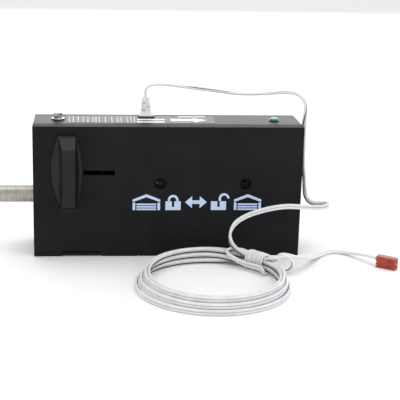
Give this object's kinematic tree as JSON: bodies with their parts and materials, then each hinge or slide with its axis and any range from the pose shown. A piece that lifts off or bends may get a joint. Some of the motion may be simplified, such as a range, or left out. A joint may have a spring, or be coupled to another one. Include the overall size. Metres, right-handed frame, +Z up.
{
  "type": "garage door deadbolt lock",
  "caption": "Powered deadbolt lock for a sectional garage door: black case with sliding steel bolt, release handle, lamp and a plug-in twin lead with a connector.",
  "frame": {"origin": "centre of the case's bottom face, the face it stands on", "axes": "+X along the case, away from the bolt; +Y from the handle side to the back; +Z up"},
  "size_m": [0.3607, 0.2054, 0.154],
  "materials": {
    "case_black": "fine moulded texture, satin",
    "handle_black": "smooth satin moulding",
    "black_screw": "black oxide steel",
    "bolt_steel": "turned, lightly brushed",
    "zinc_steel": "bright zinc plate",
    "cast_metal": "die cast, as cast",
    "nylon_cream": "natural nylon",
    "acetal_white": "moulded acetal",
    "gear_brass": "machined brass",
    "bumper_rubber": "moulded rubber",
    "board_green": "solder mask",
    "component_black": "moulded component body",
    "relay_blue": "glossy moulding",
    "lamp_green": "clear tinted lens",
    "label_film": "printed polyester film",
    "lead_red": "soft insulation",
    "cord_white": "soft vinyl, satin",
    "connector_red": "satin moulding"
  },
  "bodies": {
    "case": {"board_screw_1": "zinc_steel", "board_screw_2": "zinc_steel", "bolt_bush": "nylon_cream", "bracket_pillar_1": "zinc_steel", "bracket_pillar_2": "zinc_steel", "capacitor": "component_black", "casting_screw_1": "zinc_steel", "casting_screw_2": "zinc_steel", "circuit_board": "board_green", "cord_coil": "cord_white", "cord_connector": "connector_red", "cord_plug": "cord_white", "cord_run": "cord_white", "cord_tail": "cord_white", "cord_tie": "cord_white", "cover_screw_left": "black_screw", "cover_screw_right": "black_screw", "extended_switch_lead": "cord_white", "frame_pillar_1": "zinc_steel", "frame_pillar_2": "zinc_steel", "frame_pillar_3": "zinc_steel", "frame_plate_front": "zinc_steel", "frame_plate_rear": "zinc_steel", "front_cover": "case_black", "guide_casting": "cast_metal", "guide_rod": "bolt_steel", "idler_shaft": "bolt_steel", "indicator_led": "lamp_green", "light_pipe": "lamp_green", "limit_switch_extended": "component_black", "limit_switch_retracted": "component_black", "microcontroller": "component_black", "motor_bracket": "zinc_steel", "motor_can": "zinc_steel", "motor_end_cap": "component_black", "motor_lead": "lead_red", "motor_screw_1": "zinc_steel", "motor_screw_2": "zinc_steel", "output_shaft": "bolt_steel", "rack_shoe": "nylon_cream", "rear_housing": "case_black", "relay": "relay_blue", "retracted_switch_lead": "cord_white", "socket_shell": "component_black", "stop_bumper": "bumper_rubber", "top_hex_screw": "zinc_steel", "top_label": "label_film", "wire_header": "nylon_cream"},
    "bolt": {"deadbolt": "bolt_steel", "bolt_carriage": "acetal_white", "carriage_pin": "bolt_steel", "drive_rack": "bolt_steel", "rack_pin": "bolt_steel", "release_handle": "handle_black", "handle_screw": "zinc_steel"},
    "output_wheel": {"output_gear": "acetal_white"},
    "idler_wheel": {"idler_gear": "gear_brass"},
    "motor_rotor": {"motor_pinion": "gear_brass"},
    "extended_button": {"switch_plunger_extended": "nylon_cream"},
    "retracted_button": {"switch_plunger_retracted": "nylon_cream"}
  },
  "joints": [
    {"name": "bolt_slide", "type": "slide", "parent": "case", "child": "bolt", "axis": [1, 0, 0], "range_m": [0, 0.032]},
    {"name": "output_spin", "type": "hinge", "parent": "case", "child": "output_wheel", "pos_m": [-0.014, 0, 0.03588], "axis": [0, 1, 0], "range_deg": [0, 230]},
    {"name": "idler_spin", "type": "hinge", "parent": "case", "child": "idler_wheel", "pos_m": [0.0093, 0, 0.02964], "axis": [0, 1, 0], "range_deg": [-917, 0]},
    {"name": "motor_spin", "type": "hinge", "parent": "case", "child": "motor_rotor", "pos_m": [0.02832, 0, 0.02628], "axis": [0, 1, 0], "range_deg": [0, 2751]},
    {"name": "extended_button_press", "type": "slide", "parent": "case", "child": "extended_button", "axis": [-1, 0, 0], "range_m": [0, 0.0012], "stiffness_N_per_m": 150},
    {"name": "retracted_button_press", "type": "slide", "parent": "case", "child": "retracted_button", "axis": [1, 0, 0], "range_m": [0, 0.0012], "stiffness_N_per_m": 150}
  ],
  "couplings": [
    {"joint": "output_spin", "follows": "bolt_slide", "rad_per_m": 125},
    {"joint": "idler_spin", "follows": "bolt_slide", "rad_per_m": -500},
    {"joint": "motor_spin", "follows": "bolt_slide", "rad_per_m": 1500}
  ]
}
